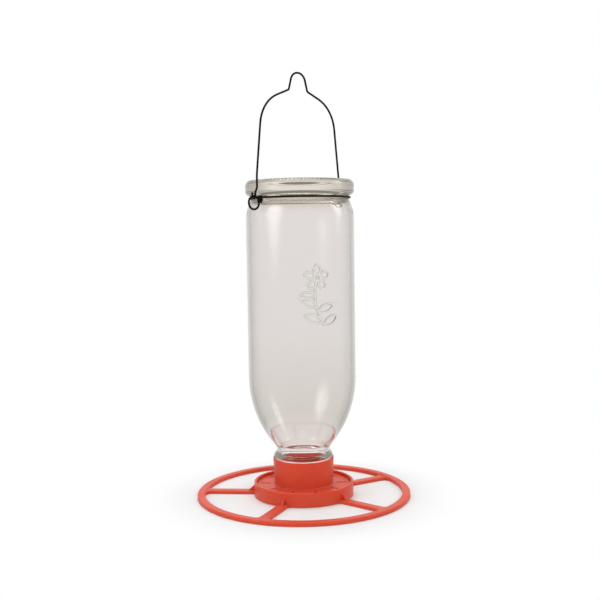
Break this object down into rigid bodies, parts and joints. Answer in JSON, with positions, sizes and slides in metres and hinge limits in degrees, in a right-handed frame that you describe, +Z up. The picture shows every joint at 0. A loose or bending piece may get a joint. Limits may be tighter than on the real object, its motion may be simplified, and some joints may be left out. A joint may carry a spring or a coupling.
{
  "type": "nectar feeder",
  "caption": "Upside-down glass bottle in a slotted feeding base with a round perch ring, hung by a wire bail that swings in two eyes.",
  "frame": {"origin": "on the table under the bottle's axis, at the middle of the perch ring's underside", "axes": "+Z up along the bottle's axis; X through the two eyes that the bail swings in"},
  "size_m": [0.16, 0.16, 0.3144],
  "materials": {
    "red_moulding": "semi-gloss moulded plastic",
    "seal_rubber": "soft translucent ring",
    "clear_glass": "clear pressed glass",
    "black_wire": "satin black coated wire"
  },
  "bodies": {
    "base": {"nectar_dish": "red_moulding"},
    "cover": {"feeding_cover": "red_moulding"},
    "seal": {"mouth_seal": "seal_rubber"},
    "bottle": {"glass_bottle": "clear_glass", "neck_band": "black_wire"},
    "bail": {"hanging_bail": "black_wire"}
  },
  "joints": [
    {"name": "cover_lift", "type": "slide", "parent": "base", "child": "cover", "axis": [0, 0, 1], "range_m": [0, 0.03]},
    {"name": "bottle_rise", "type": "slide", "parent": "cover", "child": "seal", "axis": [0, 0, 1], "range_m": [0, 0.0041]},
    {"name": "bottle_turn", "type": "hinge", "parent": "seal", "child": "bottle", "pos_m": [0, 0, 0.0104], "axis": [0, 0, 1], "range_deg": [0, 360]},
    {"name": "bail_swing", "type": "hinge", "parent": "bottle", "child": "bail", "pos_m": [0, 0, 0.2233], "axis": [1, 0, 0], "range_deg": [-135, 135]}
  ],
  "couplings": [
    {"joint": "bottle_rise", "follows": "bottle_turn", "m_per_rad": 0.00063662}
  ]
}
